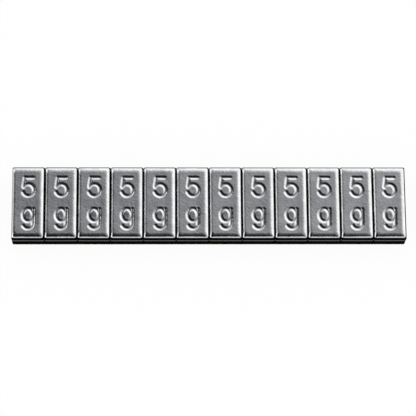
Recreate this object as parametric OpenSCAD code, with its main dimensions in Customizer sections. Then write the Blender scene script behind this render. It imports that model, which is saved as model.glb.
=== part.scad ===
// Adhesive wheel balance weight: a strip of sheared steel segments on foam tape.
// Millimetres. X runs along the strip, Y across it and Z up, away from the rim.
// The origin is the middle of the strip's underside.

/* [Strip] */
// Number of segments on the strip
segment_count = 12; // [2:1:24]
// Distance from one segment to the next along the strip
segment_pitch = 8.3; // [7:0.1:12]
// Gap between neighbouring segments where they are widest
segment_gap = 0.12; // [0.05:0.01:0.5]

/* [Steel segment] */
// Width of the segments, across the strip
segment_w = 19; // [14:0.5:30]
// Height of the steel, from the tape to the top face
segment_t = 4.25; // [3.5:0.05:6]
// Radius of the upright corners, seen from above
corner_r = 0.4; // [0.35:0.05:1]

/* [Rolled-over edge] */
// Radius of the gentle curve that leads down from the flat top face
lead_in_r = 2.1; // [1.5:0.05:3]
// Slope at which the gentle curve passes into the tight one, in degrees
lead_in_slope = 25; // [15:1:30]
// Radius of the tight curve that ends on the side wall
edge_r = 0.7; // [0.4:0.05:0.8]

/* [Sheared side wall] */
// Depth below the top face at which the smooth sheared band ends
sheared_depth = 1.6; // [1.2:0.05:2]
// How far the torn wall steps in below the sheared band
tear_step = 0.1; // [0.05:0.01:0.2]
// Height over which that step is made
tear_drop = 0.06; // [0.02:0.01:0.15]
// Depth below the top face of the ridge half way down the torn wall
ridge_depth = 2.6; // [2.3:0.05:3.2]
// How far the ridge stays inside the sheared band
ridge_inset = 0.03; // [0.01:0.01:0.05]
// How far the foot of the wall stays inside the sheared band
foot_inset = 0.12; // [0.05:0.01:0.3]

/* [Foam tape] */
// Thickness of the foam tape with its two adhesive faces
tape_t = 1.1; // [0.8:0.05:2]
// How far the tape stays inside the sheared band all round
tape_inset = 0.1; // [0:0.05:1]
// Radius of the tape's corners
tape_corner_r = 0.4; // [0.3:0.05:3]

/* [Release liner] */
// Thickness of the paper that covers the lower adhesive face
liner_t = 0.1; // [0.06:0.01:0.3]
// How far the paper stays inside the edge of the tape all round
liner_inset = 0; // [0:0.05:1]

/* [Hidden] */
$fn = 48;
steel_color = "#9a9ca1";
foam_color = "#1c1c1e";
paper_color = "#e8e4da";
bar_overrun = 1;

tape_z = liner_t;
steel_z = tape_z + tape_t;
segment_l = segment_pitch - segment_gap;
strip_l = segment_count * segment_pitch - segment_gap;
core_l = segment_l - 2 * corner_r;
core_w = segment_w - 2 * corner_r;
lead_in_w = lead_in_r * sin(lead_in_slope);
roll_w = edge_r + (lead_in_r - edge_r) * sin(lead_in_slope);
straight_t = segment_t - lead_in_r + (lead_in_r - edge_r) * cos(lead_in_slope);

function segment_name(i) = str("segment_", i < 10 ? "0" : "", i);
function segment_x(i) = (i - (segment_count + 1) / 2) * segment_pitch;

// Its children four times, mirrored in X, in Y and in both.
module mirrored_both_ways() {
    for (flip_x = [0, 1], flip_y = [0, 1])
        mirror([flip_x, 0, 0]) mirror([0, flip_y, 0]) children();
}

// Section through the outer corner_r of a segment: X points out of it and Y points up.
// From the foot the torn wall leans out to its ridge and back in to the tear, and above
// that stands the smooth sheared band.
module wall_section() {
    polygon([
        [0, 0],
        [corner_r - foot_inset, 0],
        [corner_r - ridge_inset, segment_t - ridge_depth],
        [corner_r - tear_step, segment_t - sheared_depth - tear_drop],
        [corner_r, segment_t - sheared_depth],
        [corner_r, segment_t],
        [0, segment_t],
    ]);
}

// A segment with its foot at Z = 0 and its rim still square: a core, four straight walls
// and four round corners.
module sheared_blank() {
    translate([-core_l / 2, -core_w / 2, 0]) cube([core_l, core_w, segment_t]);
    for (turn = [0, 180]) rotate(turn) {
        translate([-core_l / 2, core_w / 2, 0])
            rotate([90, 0, 90]) linear_extrude(core_l) wall_section();
        translate([core_l / 2, core_w / 2, 0])
            rotate([90, 0, 0]) linear_extrude(core_w) wall_section();
    }
    mirrored_both_ways() translate([core_l / 2, core_w / 2, 0])
        rotate_extrude(angle = 90) wall_section();
}

// End view of a bar of width w that stands on Y = 0. Its upper edges are rolled over: a
// gentle curve leads down from the flat top, and a tight one ends on the side.
module rolled_section(w) {
    flat_w = w - 2 * roll_w;
    translate([-w / 2, 0]) square([w, straight_t]);
    translate([-flat_w / 2, 0]) square([flat_w, segment_t]);
    for (side = [0, 1]) mirror([side, 0]) {
        intersection() {
            translate([flat_w / 2, segment_t - lead_in_r]) circle(lead_in_r);
            translate([flat_w / 2, 0]) square([lead_in_w, segment_t]);
        }
        translate([w / 2 - edge_r, straight_t]) circle(edge_r);
    }
}

// A bar of that section along Y, as long as a segment is in that direction and a little more.
module rolled_bar(w, l) {
    bar_l = l + bar_overrun;
    translate([0, bar_l / 2, 0]) rotate([90, 0, 0]) linear_extrude(bar_l) rolled_section(w);
}

// One steel segment with its foot at Z = 0. Its rim is rolled over on all four sides, and
// the curves meet in a mitre at each corner.
module steel_segment() {
    intersection() {
        sheared_blank();
        rolled_bar(segment_l, segment_w);
        rotate(90) rolled_bar(segment_w, segment_l);
    }
}

module segment(i) {
    color(steel_color) translate([segment_x(i), 0, steel_z]) steel_segment();
}

// A quarter of a disc, from its centre out to +X and +Y.
module quarter_disc(r) {
    intersection() {
        circle(r);
        square(r);
    }
}

// A flat sheet centred on the origin with round corners, standing on Z = 0.
module rounded_sheet(l, w, t, r) {
    linear_extrude(t) {
        square([l - 2 * r, w], center = true);
        for (side = [-1, 1])
            translate([side * (l - r) / 2, 0]) square([r, w - 2 * r], center = true);
        mirrored_both_ways() translate([l / 2 - r, w / 2 - r]) quarter_disc(r);
    }
}

module foam_tape() {
    color(foam_color) translate([0, 0, tape_z])
        rounded_sheet(strip_l - 2 * tape_inset, segment_w - 2 * tape_inset, tape_t, tape_corner_r);
}

module release_liner() {
    inset = tape_inset + liner_inset;
    color(paper_color)
        rounded_sheet(strip_l - 2 * inset, segment_w - 2 * inset, liner_t, tape_corner_r);
}

for (i = [1:segment_count]) segment(i);
foam_tape();
release_liner();
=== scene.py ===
# %% [markdown]
# # An adhesive wheel balance weight
# A strip of twelve steel segments on one foam tape. Each segment was sheared from bar,
# stamped with its mass and tumbled bright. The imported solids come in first, and every
# piece made here takes its place and outer size from them.

# %% Load the frame
import math

import bmesh
import bpy
from mathutils import Matrix, Vector


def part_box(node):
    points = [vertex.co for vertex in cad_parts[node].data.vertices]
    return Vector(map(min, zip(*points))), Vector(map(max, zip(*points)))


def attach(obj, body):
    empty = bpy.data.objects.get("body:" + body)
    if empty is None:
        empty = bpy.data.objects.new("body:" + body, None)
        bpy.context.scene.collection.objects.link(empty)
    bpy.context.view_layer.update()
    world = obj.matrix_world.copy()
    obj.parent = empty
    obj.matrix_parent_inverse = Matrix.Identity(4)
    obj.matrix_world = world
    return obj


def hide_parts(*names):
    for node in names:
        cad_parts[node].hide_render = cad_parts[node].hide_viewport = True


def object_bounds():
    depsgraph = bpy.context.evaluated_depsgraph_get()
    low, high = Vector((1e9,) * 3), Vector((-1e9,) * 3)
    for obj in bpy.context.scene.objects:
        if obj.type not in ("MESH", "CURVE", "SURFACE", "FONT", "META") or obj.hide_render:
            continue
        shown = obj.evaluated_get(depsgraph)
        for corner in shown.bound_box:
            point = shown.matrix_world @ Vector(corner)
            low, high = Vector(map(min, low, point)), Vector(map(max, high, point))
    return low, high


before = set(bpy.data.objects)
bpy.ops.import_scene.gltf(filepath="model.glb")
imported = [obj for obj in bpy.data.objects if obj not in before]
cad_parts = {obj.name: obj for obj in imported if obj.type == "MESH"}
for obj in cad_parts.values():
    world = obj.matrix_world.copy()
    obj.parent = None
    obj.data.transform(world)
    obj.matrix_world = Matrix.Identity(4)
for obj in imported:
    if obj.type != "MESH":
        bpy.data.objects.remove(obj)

cad_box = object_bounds()
MM = 0.001
SEGMENTS = sorted(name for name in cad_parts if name.startswith("segment_"))
print(len(SEGMENTS), "segments, CAD box", [[round(c / MM, 2) for c in corner] for corner in cad_box])

# %% [markdown]
# ## The camera
# The photo looks down on the strip from the front, 17 degrees off the vertical, through
# a long lens. The camera stands a little to the left of the strip's middle: the gaps lean
# apart from a line left of centre. Its axes are written as a matrix, because a track
# constraint would roll a camera that looks almost straight down.

# %% Camera
VIEW_TILT = math.radians(17.0)  # off the vertical, towards the front
VIEW_DISTANCE = 573 * MM
VIEW_LEFT = 13.6 * MM  # how far the camera stands left of the strip's middle
FOCAL_PIXELS = 2250.0  # in the photo's 416 pixels
PHOTO_PIXELS = 416.0
SENSOR_WIDTH = 36.0  # in millimetres, as the lens is
NEAREST_SEEN = 10 * MM
AIM = Vector((-0.17 * MM, 0.17 * MM, 0.0))  # what the middle of the picture shows

eye = Vector((-VIEW_LEFT, AIM.y - VIEW_DISTANCE * math.sin(VIEW_TILT), VIEW_DISTANCE * math.cos(VIEW_TILT)))
forward = (AIM - eye).normalized()
right = forward.cross(Vector((0.0, math.cos(VIEW_TILT), math.sin(VIEW_TILT)))).normalized()
up = right.cross(forward)

lens = bpy.data.cameras.new("photo_lens")
lens.sensor_width = SENSOR_WIDTH
lens.lens = FOCAL_PIXELS * SENSOR_WIDTH / PHOTO_PIXELS
lens.clip_start = NEAREST_SEEN
camera = bpy.data.objects.new("photo_camera", lens)
camera.matrix_world = Matrix.Translation(eye) @ Matrix((right, up, -forward)).transposed().to_4x4()
bpy.context.scene.collection.objects.link(camera)
bpy.context.scene.camera = camera
print(f"lens {lens.lens:.1f} mm at {VIEW_DISTANCE / MM:.0f} mm")

# %% [markdown]
# ## Helpers for the finishes
# Colours are written as the sRGB hex values that a swatch shows, and one function turns
# them to the linear values that the shader works in. Another adds a node with its
# settings, values and links in one call. A pattern's scale is the number of its features
# in a metre, so it is worked out from the size of one feature in millimetres.

# %% Node helpers
MIX_FIRST, MIX_SECOND, MIX_RESULT = 6, 7, 2  # the mix node's sockets for colours, by number
NOISE_LOW, NOISE_HIGH = 0.3, 0.7  # nearly all of a noise's values lie between these


def linear(hex_colour):
    """An sRGB hex colour such as #9a9ca1 as linear red, green, blue and alpha."""
    parts = [int(hex_colour[i : i + 2], 16) / 255 for i in (1, 3, 5)]
    return [p / 12.92 if p <= 0.04045 else ((p + 0.055) / 1.055) ** 2.4 for p in parts] + [1.0]


def scale_for(feature_mm):
    """The scale at which a texture's features are this many millimetres wide."""
    return 1 / (feature_mm * MM)


def add_node(tree, kind, settings=None, values=None, links=None):
    """One node of a shader tree, with its settings, its sockets' values and its links."""
    node = tree.nodes.new("ShaderNode" + kind)
    for name, value in (settings or {}).items():
        setattr(node, name, value)
    for socket, value in (values or {}).items():
        node.inputs[socket].default_value = value
    for socket, source in (links or {}).items():
        tree.links.new(source, node.inputs[socket])
    return node


def new_material(name):
    """An empty material, its shader and the object coordinates that its patterns read."""
    material = bpy.data.materials.new(name)
    material.use_nodes = True
    tree = material.node_tree
    tree.nodes.clear()
    shader = add_node(tree, "BsdfPrincipled")
    add_node(tree, "OutputMaterial", links={"Surface": shader.outputs["BSDF"]})
    place = add_node(tree, "TexCoord").outputs["Object"]
    return material, tree, shader, place


def noise(tree, place, feature_mm, detail=3.0, roughness=0.5):
    """Fractal noise whose largest blotches are about feature_mm wide."""
    values = {"Scale": scale_for(feature_mm), "Detail": detail, "Roughness": roughness}
    return add_node(tree, "TexNoise", values=values, links={"Vector": place}).outputs["Fac"]


def ramp_between(tree, source, low, high, to_low=0.0, to_high=1.0, smooth=True):
    """source, mapped from low..high to to_low..to_high and held there outside."""
    values = {"From Min": low, "From Max": high, "To Min": to_low, "To Max": to_high}
    settings = {"interpolation_type": "SMOOTHSTEP" if smooth else "LINEAR"}
    return add_node(tree, "MapRange", settings, values, {"Value": source}).outputs["Result"]


def arithmetic(tree, operation, first, second):
    """Two sources, or a source and a number, put through one operation."""
    node = add_node(tree, "Math", {"operation": operation}, links={0: first})
    if isinstance(second, (int, float)):
        node.inputs[1].default_value = second
    else:
        tree.links.new(second, node.inputs[1])
    return node.outputs[0]


def blend_colours(tree, factor, first, second):
    """first where factor is 0 and second where it is 1. Each is a hex colour or a socket."""
    node = add_node(tree, "Mix", {"data_type": "RGBA"}, links={"Factor": factor})
    for socket, colour in ((MIX_FIRST, first), (MIX_SECOND, second)):
        if isinstance(colour, str):
            node.inputs[socket].default_value = linear(colour)
        else:
            tree.links.new(colour, node.inputs[socket])
    return node.outputs[MIX_RESULT]


def bump(tree, height, depth_mm, below=None):
    """A bump whose height of 1 is depth_mm, laid over the bump below it."""
    values = {"Distance": depth_mm * MM, "Strength": 1.0}
    links = {"Height": height}
    if below is not None:
        links["Normal"] = below
    return add_node(tree, "Bump", values=values, links=links).outputs["Normal"]


print("helpers ready")

# %% [markdown]
# ## Sizes of a segment
# Length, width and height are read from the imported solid. The corners' radius and the
# levels of the sheared wall are the solid's too. Its rim is rolled over by 1.3 mm on all
# sides. On the real strip, the left edge of a segment is rolled over less than the other
# three, which shows as a narrower bright line. The solids stand 0.12 mm apart. The real
# neighbours all but touch, as no light comes through between them, so each segment is
# made a little longer here.

# %% Segment sizes
CLOSER = 0.05 * MM  # how much longer a segment is than its solid, on both sides
seg_low, seg_high = (Vector(corner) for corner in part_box(SEGMENTS[0]))
SEG_L, SEG_W, SEG_T = seg_high - seg_low
SEG_L += 2 * CLOSER
FOOT_Z = seg_low.z
TOP_Z = seg_high.z
ROLL_T = 0.84 * MM  # how far below the top face the rolled-over edge ends on the wall
ROLL_W = 1.6 * MM  # how wide that edge is, seen from above, at the front and back
RIGHT_ROLL_W = 1.4 * MM
LEFT_ROLL_W = 0.95 * MM
LEFT_TIGHTNESS = 1.45  # above 1, the left edge stays nearly flat for longer
CORNER_R = 0.4 * MM  # of the upright corners, seen from above
SHEARED_DEPTH = 1.6 * MM  # below the top face, where the smooth band of the wall ends
TEAR_STEP = 0.1 * MM  # how far the torn wall steps in there
TEAR_DROP = 0.06 * MM  # and over what height
RIDGE_DEPTH = 2.6 * MM  # of the torn wall's ridge, below the top face
RIDGE_INSET = 0.03 * MM  # how far the ridge stays inside the smooth band
FOOT_INSET = 0.12 * MM  # and how far the foot does
print(f"segment {SEG_L / MM:.2f} x {SEG_W / MM:.2f} x {SEG_T / MM:.2f} mm")
print(f"rolled-over edge {ROLL_W / MM:.2f} mm wide and {ROLL_T / MM:.2f} mm deep")

# %% [markdown]
# ## The figures
# Each segment is stamped with its mass, a plain 5 over a g. A font would bring its own
# shapes, so the figures are drawn as the die cutter's strokes: straight lines and arcs of
# an ellipse. Upright stretches are broader than level ones, as in most plain lettering.

# %% Strokes of the figures, in millimetres from the segment's middle
ARC_STEP = math.radians(9)


def arc(centre, radii, start_deg, end_deg):
    """Points along an ellipse from one angle to the other."""
    start, end = math.radians(start_deg), math.radians(end_deg)
    count = max(2, round(abs(end - start) / ARC_STEP))
    angles = [start + (end - start) * i / count for i in range(count + 1)]
    return [(centre[0] + radii[0] * math.cos(a), centre[1] + radii[1] * math.sin(a)) for a in angles]


FIVE = [
    [(1.22, 6.54), (-0.9, 6.54), (-1.22, 4.25)],
    arc((0.04, 3.25), (1.42, 1.55), 148, -158),
]
LETTER_G = [
    arc((-0.01, -3.3), (1.24, 1.64), 0, 360),
    [(1.31, -1.8)] + arc((0.02, -5.71), (1.24, 1.15), 0, -157),
]
STROKES = FIVE + LETTER_G
print(sum(len(line) - 1 for line in STROKES), "stretches in", len(STROKES), "strokes")

# %% [markdown]
# The die sinks a round-bottomed groove and drags the plate down with it, so each groove
# has soft shoulders and the face is a little dished round the figures. The groove's depth
# at a point follows from the nearest stroke. The dish is a sum of wide, soft dips along
# all strokes, because a nearest distance alone would leave creases between them. The
# shear also leaves the right margin of the face a hair higher beside the g, and the
# little island inside the g leans up towards the back right. Both show in the photo as
# soft dark patches.

# %% Depth of the stamping, in millimetres
GROOVE_DEPTH = 0.155
LEVEL_REACH = 0.66  # from a level stroke's middle to where its shoulder ends
UPRIGHT_REACH = 0.7  # and the same of an upright stroke
DISH_DEPTH = 0.01
DISH_REACH = 1.2  # how far from a stroke the dish has mostly run out
SINK_DEPTH = 0.05  # how much lower the face is than its right margin, beside the g
SINK_X, SINK_Y = 2.0, -2.0  # the margin's inner edge, and where along it the step is deepest
SINK_SOFTNESS = 0.35
SINK_LENGTH = 4.5  # how far along the margin the step has mostly run out
LEAN_SLOPE = 0.06
LEAN_X, LEAN_Y = -0.01, -3.3  # the island's middle
LEAN_REACH = 0.9


def stretches(strokes):
    """Each straight stretch as start, direction, length and reach."""
    found = []
    for line in strokes:
        for (ax, ay), (bx, by) in zip(line, line[1:]):
            length = math.hypot(bx - ax, by - ay)
            ux, uy = (bx - ax) / length, (by - ay) / length
            reach = LEVEL_REACH + (UPRIGHT_REACH - LEVEL_REACH) * abs(uy)
            found.append((ax, ay, ux, uy, length, reach))
    return found


STRETCHES = stretches(STROKES)


def groove_depth(x, y):
    """How deep the groove is at a point of the top face, in millimetres."""
    nearest = 1.0  # as a share of the reach, where the groove has run out
    for ax, ay, ux, uy, length, reach in STRETCHES:
        dx, dy = x - ax, y - ay
        along = min(max(dx * ux + dy * uy, 0.0), length)
        nearest = min(nearest, math.hypot(dx - along * ux, dy - along * uy) / reach)
    return GROOVE_DEPTH * (1 + math.cos(math.pi * nearest)) / 2


def dish_depth(x, y):
    """How far the face is dished at a point, in millimetres."""
    dip = 0.0
    for ax, ay, ux, uy, length, _ in STRETCHES:
        dx, dy = x - ax - ux * length / 2, y - ay - uy * length / 2
        dip += length * math.exp(-(dx * dx + dy * dy) / (2 * DISH_REACH**2))
    sunk = 1 / (1 + math.exp((x - SINK_X) / SINK_SOFTNESS)) * math.exp(-(((y - SINK_Y) / SINK_LENGTH) ** 2))
    dx, dy = x - LEAN_X, y - LEAN_Y
    lean = LEAN_SLOPE * (dx + dy) / math.sqrt(2) * math.exp(-(dx * dx + dy * dy) / (2 * LEAN_REACH**2))
    return DISH_DEPTH * dip / (DISH_REACH * math.sqrt(2 * math.pi)) + SINK_DEPTH * sunk - lean


print(f"groove {groove_depth(0.2, 6.5):.2f} mm deep in a dish of {dish_depth(0.2, 6.5):.3f} mm")

# %% [markdown]
# ## One steel segment
# Shearing drags the rim of the plate down, further inwards than downwards. A bevel can
# only be as deep as it is wide, so the block is stretched upwards while its rim is
# bevelled and let down afterwards. The bevel comes out equally wide on all sides, and the
# left and right edges are narrowed after it. That leaves mitres at the corners, and a
# second bevel rounds them together with the upright edges below.

# %% Blank with a rolled-over rim
RIM_STEPS = 12
CORNER_STEPS = 6
TINY = 1e-7  # metres, the distance below which two places are the same


def block(middle, size):
    """A plain box of this size round this middle, as a new shape."""
    bm = bmesh.new()
    bmesh.ops.create_cube(bm, size=1, matrix=Matrix.Translation(middle) @ Matrix.Diagonal((*size, 1)))
    return bm


def round_edges(bm, edges, offset, segments):
    """Rounds edges with a circular bevel."""
    bmesh.ops.bevel(
        bm,
        geom=edges,
        offset=offset,
        offset_type="OFFSET",
        affect="EDGES",
        segments=segments,
        profile=0.5,
        material=-1,
    )


def stretch_up(bm, factor):
    """Scales a mesh along Z about the level of the top face."""
    bmesh.ops.scale(bm, vec=(1, 1, factor), space=Matrix.Translation((0, 0, -TOP_Z)), verts=bm.verts)


def on_mitre(edge):
    """True for the upright edges and for the mitres above them."""
    middle = (edge.verts[0].co + edge.verts[1].co) / 2
    from_end = SEG_L / 2 - abs(middle.x)
    from_side = SEG_W / 2 - abs(middle.y)
    return abs(from_end - from_side) < TINY and from_end < ROLL_W


def narrow_ends(bm):
    """Gives the rolled edges at the left and right their own widths. The flat reaches them."""
    for v in bm.verts:
        from_flat = max(0.0, 1 - (v.co.x + SEG_L / 2) / ROLL_W)
        if from_flat > 0:
            v.co.x = LEFT_ROLL_W * (1 - from_flat**LEFT_TIGHTNESS) - SEG_L / 2
        elif v.co.x > SEG_L / 2 - ROLL_W - TINY:
            v.co.x = SEG_L / 2 - (SEG_L / 2 - v.co.x) * RIGHT_ROLL_W / ROLL_W
        else:
            v.co.x = LEFT_ROLL_W - SEG_L / 2


def steel_blank():
    """A segment without wall detail or figures, centred on X and Y."""
    bm = block((0, 0, (FOOT_Z + TOP_Z) / 2), (SEG_L, SEG_W, SEG_T))
    rim = [e for e in bm.edges if all(abs(v.co.z - TOP_Z) < TINY for v in e.verts)]
    stretch_up(bm, ROLL_W / ROLL_T)
    round_edges(bm, rim, ROLL_W, RIM_STEPS)
    stretch_up(bm, ROLL_T / ROLL_W)
    mitres = [e for e in bm.edges if on_mitre(e)]
    narrow_ends(bm)
    round_edges(bm, mitres, CORNER_R, CORNER_STEPS)
    for v in bm.verts:  # the second bevel swells a hair above the flat at its corners
        v.co.z = min(v.co.z, TOP_Z)
    return bm


segment_shape = steel_blank()
print(len(segment_shape.faces), "faces in the blank")

# %% [markdown]
# A sheared wall has two parts: a smooth band where the blade cut, and below it the torn
# metal, which steps in and swells to a ridge. Level cuts put rings of vertices into the
# wall, and each ring is drawn in along its own normal, which works round corners too.

# %% Sheared and torn wall
ON_PLANE = 1e-9  # metres, how near a vertex has to be to count as on the plane of a cut


def all_of(bm):
    """All of a shape's geometry, as the operators take it."""
    return bm.verts[:] + bm.edges[:] + bm.faces[:]


def cut(bm, geom, point, normal):
    """Cuts the given geometry with a plane and returns it with what the cut made."""
    return bmesh.ops.bisect_plane(bm, geom=geom, dist=ON_PLANE, plane_co=point, plane_no=normal)["geom"]


def draw_in(bm, level, inset):
    """Moves the ring of wall vertices at a level inwards."""
    bm.normal_update()
    for v in [v for v in bm.verts if abs(v.co.z - level) < TINY]:
        outwards = Vector((v.normal.x, v.normal.y, 0.0)).normalized()
        v.co -= outwards * inset


WALL_RINGS = [  # level, and how far the ring is drawn in
    (TOP_Z - SHEARED_DEPTH, 0.0),
    (TOP_Z - SHEARED_DEPTH - TEAR_DROP, TEAR_STEP),
    (TOP_Z - RIDGE_DEPTH, RIDGE_INSET),
]
for level, _ in WALL_RINGS:
    cut(segment_shape, all_of(segment_shape), (0, 0, level), (0, 0, 1))
for level, inset in WALL_RINGS + [(FOOT_Z, FOOT_INSET)]:
    draw_in(segment_shape, level, inset)
print(len(segment_shape.faces), "faces with the wall's rings")

# %% [markdown]
# The figures need far more vertices than the rest of the face. Coarse cuts run right
# across the segment and down its flat, for the slight dish, and fine ones only in the
# window where the figures stand. A narrow ring just inside the flat keeps the shading of
# the rolled edge from creeping into it. The rolled edges sink with the face, the less
# the lower they are, so no crease forms between them.

# %% Stamp the figures
FLAT_RING = 0.03 * MM  # width of the narrow ring
LEVEL_NORMAL = 0.9999  # a face counts as flat where its normal has more Z than this
ROW = 1.0 * MM  # spacing of the coarse cuts across the segment
COLUMN = 0.5 * MM  # of those down its flat
FINE = 0.08 * MM  # and of the fine ones
WINDOW_X = 2.3 * MM  # half the width of the window
WINDOW_LOW, WINDOW_HIGH = -7.8 * MM, 7.6 * MM


def cut_rows(bm, geom, axis, low, high, spacing):
    """Cuts geometry into rows from low to high along X (0) or Y (1)."""
    rows = max(1, round((high - low) / spacing))
    normal = Vector((axis == 0, axis == 1, 0))
    for i in range(rows + 1):
        geom = cut(bm, geom, normal * (low + (high - low) * i / rows), normal)
    return geom


def with_borders(faces):
    """Faces together with their edges and vertices."""
    return list({part for f in faces for part in [f, *f.edges, *f.verts]})


def inside_window(part):
    """True for a face whose middle is where the figures stand."""
    if not isinstance(part, bmesh.types.BMFace):
        return False
    middle = part.calc_center_median()
    return abs(middle.x) < WINDOW_X and WINDOW_LOW < middle.y < WINDOW_HIGH


def stamp(bm):
    """Cuts the grids into the segment's top face and pushes it down."""
    cut_rows(bm, all_of(bm), 1, WINDOW_LOW, WINDOW_HIGH, ROW)
    bm.normal_update()
    flat = [f for f in bm.faces if f.normal.z > LEVEL_NORMAL]
    bmesh.ops.inset_region(bm, faces=flat, thickness=FLAT_RING, use_even_offset=True)
    geom = cut_rows(bm, with_borders(flat), 0, -WINDOW_X, WINDOW_X, COLUMN)
    faces = [part for part in geom if inside_window(part)]
    window = cut_rows(bm, with_borders(faces), 0, -WINDOW_X, WINDOW_X, FINE)
    cut_rows(bm, window, 1, WINDOW_LOW, WINDOW_HIGH, FINE)
    for v in bm.verts:
        height_share = (v.co.z - TOP_Z + ROLL_T) / ROLL_T  # 1 on the flat, 0 at the roll's foot
        if height_share > 0:
            x, y = v.co.x / MM, v.co.y / MM
            v.co.z -= (groove_depth(x, y) + dish_depth(x, y)) * height_share * MM


stamp(segment_shape)
print(len(segment_shape.faces), "faces in a segment")

# %% [markdown]
# Every piece ends as a mesh at the origin with smooth shading, apart from edges that are
# really sharp, such as the tear in the wall.

# %% Turn a shape into an object
SHARP_ANGLE = math.radians(32)


def to_object(bm, name, material):
    """A smooth-shaded object at the origin, with its sharp edges marked."""
    bmesh.ops.remove_doubles(bm, verts=bm.verts, dist=TINY)
    bmesh.ops.recalc_face_normals(bm, faces=bm.faces)
    for face in bm.faces:
        face.smooth = True
    for edge in bm.edges:
        edge.smooth = edge.calc_face_angle(0) < SHARP_ANGLE
    mesh = bpy.data.meshes.new(name)
    bm.to_mesh(mesh)
    mesh.materials.append(material)
    piece = bpy.data.objects.new(name, mesh)
    bpy.context.scene.collection.objects.link(piece)
    return piece


print(f"edges of {math.degrees(SHARP_ANGLE):.0f} degrees and more stay sharp")

# %% [markdown]
# ## Bright plated steel
# The segments are zinc plated and tumbled together, which polishes their tops and
# rolled-over edges. The walls between them and the steep lower part of the rolled edges
# are dull, and their colour is painted near black as painted shade, for the shade and dark
# reflections that fall there. The look of the bright part comes from a low roughness, soft
# waves left by the press and a fine peened grain. The real grain is finer than a pixel of
# the photo and is drawn coarser, 0.5 mm wide, so that it shows. A mask on height divides the
# bright plate from the painted shade, and it is shifted by the way the surface faces: the
# painted shade reaches higher at the back and at the right, and less high at the left. The
# torn wall's ridge stands proud, and a paler grey stripe is painted along it as a painted
# highlight.

# %% Material: tumbled zinc plate on sheared steel
BRIGHT_FROM, BRIGHT_TO = TOP_Z - 0.41 * MM, TOP_Z - 0.33 * MM  # painted shade below and bright plate above
TURN_FROM, TURN_TO = 0.3, 0.6  # a normal's X or Y from which a surface counts as facing that way
# How far the painted shade's edge moves on surfaces facing back, right and left
SHIFT_BEHIND = -0.03 * MM
SHIFT_RIGHT = -0.055 * MM
SHIFT_LEFT = 0.1 * MM
RIDGE_RISE = (TOP_Z - 2.8 * MM, TOP_Z - 2.2 * MM)  # where the painted highlight on the ridge begins, from below
RIDGE_FALL = (TOP_Z - 2.1 * MM, TOP_Z - 1.7 * MM)  # and where it ends
PLATE_DARKER, PLATE_PALER = "#babbbc", "#c6c7c8"
# Near-black painted shade for the walls, and a grey painted highlight for the ridge
PAINTED_WALL_SHADE, PAINTED_RIDGE_HIGHLIGHT = "#050505", "#666561"
BLOTCH_MM, WAVE_MM, GRAIN_MM = 2.2, 2.4, 0.5
BLOTCH_LOW, BLOTCH_HIGH = 0.35, 0.65  # the noise's values for the darker and the paler plate
WAVE_DEPTH_MM, GRAIN_DEPTH_MM = 0.045, 0.02
DULL_ROUGHNESS, BRIGHT_ROUGHNESS, TARNISH_ROUGHNESS = 0.8, 0.1, 0.04


def plated_steel():
    """Bright plate above a height, painted shade below it and a painted highlight on the ridge."""
    material, tree, shader, place = new_material("tumbled_zinc_plate_on_sheared_steel")
    place_of = add_node(tree, "SeparateXYZ", links={0: place}).outputs
    faces = add_node(tree, "SeparateXYZ", links={0: add_node(tree, "NewGeometry").outputs["Normal"]}).outputs
    # The painted shade reaches higher on surfaces facing back and right, less high on those facing left
    behind = ramp_between(tree, faces["Y"], TURN_FROM, TURN_TO, 0.0, SHIFT_BEHIND)
    at_right = ramp_between(tree, faces["X"], TURN_FROM, TURN_TO, 0.0, SHIFT_RIGHT)
    at_left = ramp_between(tree, faces["X"], -TURN_TO, -TURN_FROM, SHIFT_LEFT, 0.0)
    reached = place_of["Z"]
    for shift in (behind, at_right, at_left):
        reached = arithmetic(tree, "ADD", reached, shift)
    # 1 on the bright plate, 0 where the colour is painted near black as painted shade
    bright_plate_vs_painted_shade = ramp_between(tree, reached, BRIGHT_FROM, BRIGHT_TO)
    # A paler grey stripe painted along the ridge as a painted highlight
    ridge_up = ramp_between(tree, place_of["Z"], *RIDGE_RISE)
    ridge_down = ramp_between(tree, place_of["Z"], *RIDGE_FALL, 1.0, 0.0)
    ridge = arithmetic(tree, "MULTIPLY", ridge_up, ridge_down)

    blotches = noise(tree, place, BLOTCH_MM, detail=4)
    grain = noise(tree, place, GRAIN_MM, detail=0)
    tone = ramp_between(tree, blotches, BLOTCH_LOW, BLOTCH_HIGH)
    plate = blend_colours(tree, tone, PLATE_DARKER, PLATE_PALER)
    # The walls' colour: painted shade, with a painted highlight along the ridge
    wall_shade_and_ridge_highlight = blend_colours(tree, ridge, PAINTED_WALL_SHADE, PAINTED_RIDGE_HIGHLIGHT)
    colour = blend_colours(tree, bright_plate_vs_painted_shade, wall_shade_and_ridge_highlight, plate)
    tree.links.new(colour, shader.inputs["Base Color"])
    tree.links.new(bright_plate_vs_painted_shade, shader.inputs["Metallic"])

    tarnish = ramp_between(tree, blotches, NOISE_LOW, NOISE_HIGH, 0.0, TARNISH_ROUGHNESS)
    untarnished = ramp_between(tree, bright_plate_vs_painted_shade, 0.0, 1.0, DULL_ROUGHNESS, BRIGHT_ROUGHNESS)
    roughness = arithmetic(tree, "ADD", untarnished, tarnish)
    tree.links.new(roughness, shader.inputs["Roughness"])
    shader.inputs["Specular IOR Level"].default_value = 0.0  # no sheen on the dull walls, so their painted shade stays black

    waves = bump(tree, noise(tree, place, WAVE_MM, detail=1), WAVE_DEPTH_MM)
    peened = bump(tree, grain, GRAIN_DEPTH_MM, waves)
    tree.links.new(peened, shader.inputs["Normal"])
    return material


STEEL = plated_steel()
print("steel ready")

# %% [markdown]
# ## Twelve copies
# Every segment comes off the same die, so one shape is copied to the middle of each
# packed segment. The pattern of the plate goes by the place on the strip and so differs
# from one to the next. The two end segments keep within the strip's packed length.

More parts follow.
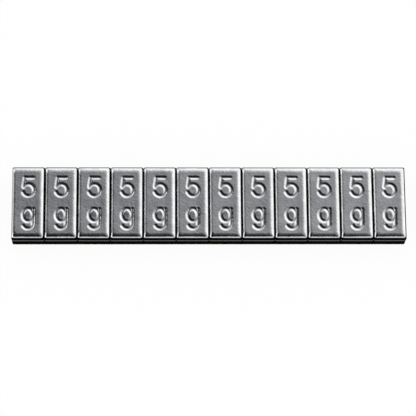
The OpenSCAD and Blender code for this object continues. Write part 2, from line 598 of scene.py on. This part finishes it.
# %% Place the segments
for name in SEGMENTS:
    low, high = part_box(name)
    copy = segment_shape.copy()
    bmesh.ops.translate(copy, verts=copy.verts, vec=((low[0] + high[0]) / 2, (low[1] + high[1]) / 2, 0))
    for v in copy.verts:
        v.co = Vector(min(max(c, lo), hi) for c, lo, hi in zip(v.co, *cad_box))
    piece = to_object(copy, "stamped_" + name, STEEL)
    copy.free()
    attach(piece, "root")
    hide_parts(name)
segment_shape.free()
print("placed", len(SEGMENTS), "segments")

# %% [markdown]
# ## The foam tape
# Black closed-cell foam, 1.1 mm thick, with an adhesive coat on both faces. It is cut to
# length with a blade, so its walls are straight and matt with the cut cells showing, and
# its edges are a little soft. Real cells are finer and are drawn 0.22 mm wide here, so
# that they show.

# %% Material: closed-cell foam
CELL_MM, CELL_DEPTH_MM = 0.22, 0.06
FOAM_SHADE_MM = 0.5


def cut_foam():
    """Matt black foam with its cut cells in relief."""
    material, tree, shader, place = new_material("black_closed_cell_foam")
    cells = add_node(tree, "TexVoronoi", values={"Scale": scale_for(CELL_MM)}, links={"Vector": place})
    shade = ramp_between(tree, noise(tree, place, FOAM_SHADE_MM), NOISE_LOW, NOISE_HIGH)
    tree.links.new(blend_colours(tree, shade, "#060606", "#101011"), shader.inputs["Base Color"])
    shader.inputs["Roughness"].default_value = 0.95
    shader.inputs["Specular IOR Level"].default_value = 0.02
    tree.links.new(bump(tree, cells.outputs["Distance"], CELL_DEPTH_MM), shader.inputs["Normal"])
    return material


FOAM = cut_foam()
print("foam ready")

# %% [markdown]
# The tape and its liner are blocks with bevelled corners and rims, each as thick as its
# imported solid. The press squeezes them out to the steel's outline, so they are a little
# wider than the solids, which stay 0.1 mm inside it.

# %% Model the tape
SHEET_CORNER_R = 0.4 * MM
SHEET_RIM_STEPS = 2
TAPE_RIM_R = 0.08 * MM


def rise(edge):
    """How much higher one end of an edge is than the other."""
    return abs(edge.verts[0].co.z - edge.verts[1].co.z)


def cut_sheet(node, rim_r):
    """A sheet as thick as a node and flush with the steel, with round corners and soft rims."""
    low, high = (Vector(corner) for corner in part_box(node))
    low.x, low.y, high.x, high.y = cad_box[0][0], cad_box[0][1], cad_box[1][0], cad_box[1][1]
    size = high - low
    bm = block((low + high) / 2, size)
    round_edges(bm, [e for e in bm.edges if rise(e) > size.z / 2], SHEET_CORNER_R, CORNER_STEPS)
    round_edges(bm, [e for e in bm.edges if rise(e) < TINY], rim_r, SHEET_RIM_STEPS)
    return bm


tape_shape = cut_sheet("foam_tape", TAPE_RIM_R)
tape = to_object(tape_shape, "cut_foam_tape", FOAM)
tape_shape.free()
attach(tape, "root")
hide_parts("foam_tape")
print("tape with", len(tape.data.polygons), "faces")

# %% [markdown]
# ## The release liner
# Silicone-coated paper that keeps the adhesive clean until the strip is used. The coat
# gives it a soft sheen, and its fibres show as faint streaks. Paper fibres are a few
# hundredths of a millimetre thick, so bundles of them are drawn, 0.5 mm wide and four
# times as long.

# %% Material and piece: silicone-coated paper
FIBRE_MM, FIBRE_DEPTH_MM = 0.5, 0.01
FIBRE_STRETCH = (0.25, 1.0, 1.0)
LINER_RIM_R = 0.015 * MM


def coated_paper():
    """Pale paper with a soft sheen and faint streaks along the strip."""
    material, tree, shader, place = new_material("silicone_coated_paper")
    along = add_node(tree, "Mapping", values={"Scale": FIBRE_STRETCH}, links={"Vector": place})
    fibres = noise(tree, along.outputs["Vector"], FIBRE_MM, detail=5, roughness=0.65)
    shade = ramp_between(tree, fibres, NOISE_LOW, NOISE_HIGH)
    tree.links.new(blend_colours(tree, shade, "#e3dfd3", "#efece3"), shader.inputs["Base Color"])
    shader.inputs["Roughness"].default_value = 0.38
    tree.links.new(bump(tree, fibres, FIBRE_DEPTH_MM), shader.inputs["Normal"])
    return material


PAPER = coated_paper()
liner_shape = cut_sheet("release_liner", LINER_RIM_R)
liner = to_object(liner_shape, "peel_off_liner", PAPER)
liner_shape.free()
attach(liner, "root")
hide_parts("release_liner")
print("liner with", len(liner.data.polygons), "faces")

# %% [markdown]
# ## The floor
# A plain white sheet that reaches far past the picture. It takes the strip's soft shadow
# as any matt surface does. Straight rays, mirror rays and rays through glass see it
# mostly as plain white, which takes no extra light on the object.

# %% Floor
FLOOR_HALF = 3.0  # metres
PLAIN_SHARE = 0.94  # how much of what those rays see is plain white


def white_floor():
    """White card to the light, and mostly plain white to the rays named above."""
    material, tree, shader, _ = new_material("white_studio_floor")
    shader.inputs["Base Color"].default_value = linear("#f8f8f8")
    shader.inputs["Roughness"].default_value = 1.0
    shader.inputs["Specular IOR Level"].default_value = 0.0
    ray = add_node(tree, "LightPath")
    seen = arithmetic(tree, "MAXIMUM", ray.outputs["Is Camera Ray"], ray.outputs["Is Glossy Ray"])
    seen = arithmetic(tree, "MAXIMUM", seen, ray.outputs["Is Transmission Ray"])
    share = arithmetic(tree, "MULTIPLY", seen, PLAIN_SHARE)
    white = add_node(tree, "Emission", values={"Color": (1, 1, 1, 1), "Strength": 1.0})
    links = {0: share, 1: shader.outputs["BSDF"], 2: white.outputs[0]}
    mixed = add_node(tree, "MixShader", links=links)
    output = next(n for n in tree.nodes if n.type == "OUTPUT_MATERIAL")
    tree.links.new(mixed.outputs[0], output.inputs["Surface"])
    return material


floor_shape = bmesh.new()
bmesh.ops.create_grid(floor_shape, x_segments=1, y_segments=1, size=FLOOR_HALF)
floor_piece = to_object(floor_shape, "studio_floor", white_floor())
floor_shape.free()
print("floor", 2 * FLOOR_HALF, "m square")

# %% [markdown]
# ## The light
# The light is one soft dome, because bright metal shows little but what it mirrors. The
# photo's flat tops mirror a mid grey, the edges that lean to the right and to the back
# mirror white, and the stamped sides that lean to the left and to the front mirror
# black. So the dome grows brighter from one side to the other: it is dark towards the
# front left and bright towards the back right. The steep edges at the left and the front
# catch a pale rim instead, which surrounds a dark opening overhead. Near the horizon the
# whole dome fades, so that the tops don't burn out in low views. In all it lights a
# level white card about as much as a plain dome of brightness 1 would.

# %% Studio dome
BRIGHT_TURN = math.radians(48)  # the bright side, from the right towards the back
DOME_STOPS = [  # how far towards the bright side, from -1 to 1, and brightness there
    (-0.18, 0.018),
    (-0.105, 0.044),
    (-0.03, 0.088),
    (0.042, 0.15),
    (0.105, 0.246),
    (0.163, 0.352),
    (0.22, 0.458),
    (0.34, 0.607),
    (0.41, 0.827),
    (0.48, 1.2),
    (0.56, 1.64),
    (0.63, 1.77),
]
RIM_AXIS = Vector((-0.12, 0.05, 1.0)).normalized()  # the middle of the opening in the pale rim
RIM_FROM = math.radians(32)  # from that axis, where the rim begins to show
RIM_TO = math.radians(42)  # and where it has its full brightness
RIM_LEVEL = 1.15
RIM_LEVEL_LEFT = 2.05  # its brightness far out on the left
LEFT_FULL, LEFT_NONE = -0.75, -0.35  # a direction's X between which it takes that on
LOW_SHARE = 0.45  # the share of the dome's brightness that is left near the horizon
LOW_FROM, LOW_TO = 0.36, 0.08  # heights of a direction between which it fades
OVERHEAD_TINT = "#f9faff"
PALE_TINT = "#fffffe"
PALE_FROM, PALE_TO = 0.25, 0.48  # how far towards the bright side the tint turns pale


def studio_dome():
    """The dome as a world whose brightness goes by direction alone."""
    world = bpy.data.worlds.new("studio_dome")
    bpy.context.scene.world = world
    world.use_nodes = True
    tree = world.node_tree
    tree.nodes.clear()
    direction = add_node(tree, "TexCoord").outputs["Generated"]
    bright = Vector((math.cos(BRIGHT_TURN), math.sin(BRIGHT_TURN), 0.0))
    dot = {"operation": "DOT_PRODUCT"}
    side = add_node(tree, "VectorMath", dot, {1: bright}, {0: direction}).outputs["Value"]
    slope = add_node(tree, "ValToRGB", links={0: ramp_between(tree, side, -1.0, 1.0, smooth=False)})
    stops = slope.color_ramp.elements
    peak = max(level for _, level in DOME_STOPS)
    while len(stops) < len(DOME_STOPS):
        stops.new(0.5)  # anywhere, as the loop below sets all places
    for stop, (towards, level) in zip(stops, DOME_STOPS):
        stop.position = (towards + 1) / 2
        stop.color = [level / peak] * 3 + [1]
    sloping = arithmetic(tree, "MULTIPLY", slope.outputs["Color"], peak)
    up = add_node(tree, "VectorMath", dot, {1: RIM_AXIS}, {0: direction}).outputs["Value"]
    in_rim = ramp_between(tree, up, math.cos(RIM_TO), math.cos(RIM_FROM), 1.0, 0.0)
    axes = add_node(tree, "SeparateXYZ", links={0: direction}).outputs
    rim_level = ramp_between(tree, axes["X"], LEFT_FULL, LEFT_NONE, RIM_LEVEL_LEFT, RIM_LEVEL)
    rim = arithmetic(tree, "MULTIPLY", in_rim, rim_level)
    low = ramp_between(tree, axes["Z"], LOW_TO, LOW_FROM, LOW_SHARE, 1.0)
    strength = arithmetic(tree, "MULTIPLY", arithmetic(tree, "MAXIMUM", sloping, rim), low)
    pale = arithmetic(tree, "MAXIMUM", ramp_between(tree, side, PALE_FROM, PALE_TO), in_rim)
    tint = blend_colours(tree, pale, OVERHEAD_TINT, PALE_TINT)
    light = add_node(tree, "Background", links={"Color": tint, "Strength": strength})
    add_node(tree, "OutputWorld", links={"Surface": light.outputs[0]})


studio_dome()
bpy.context.scene.view_settings.view_transform = "Standard"
print("dome ready")
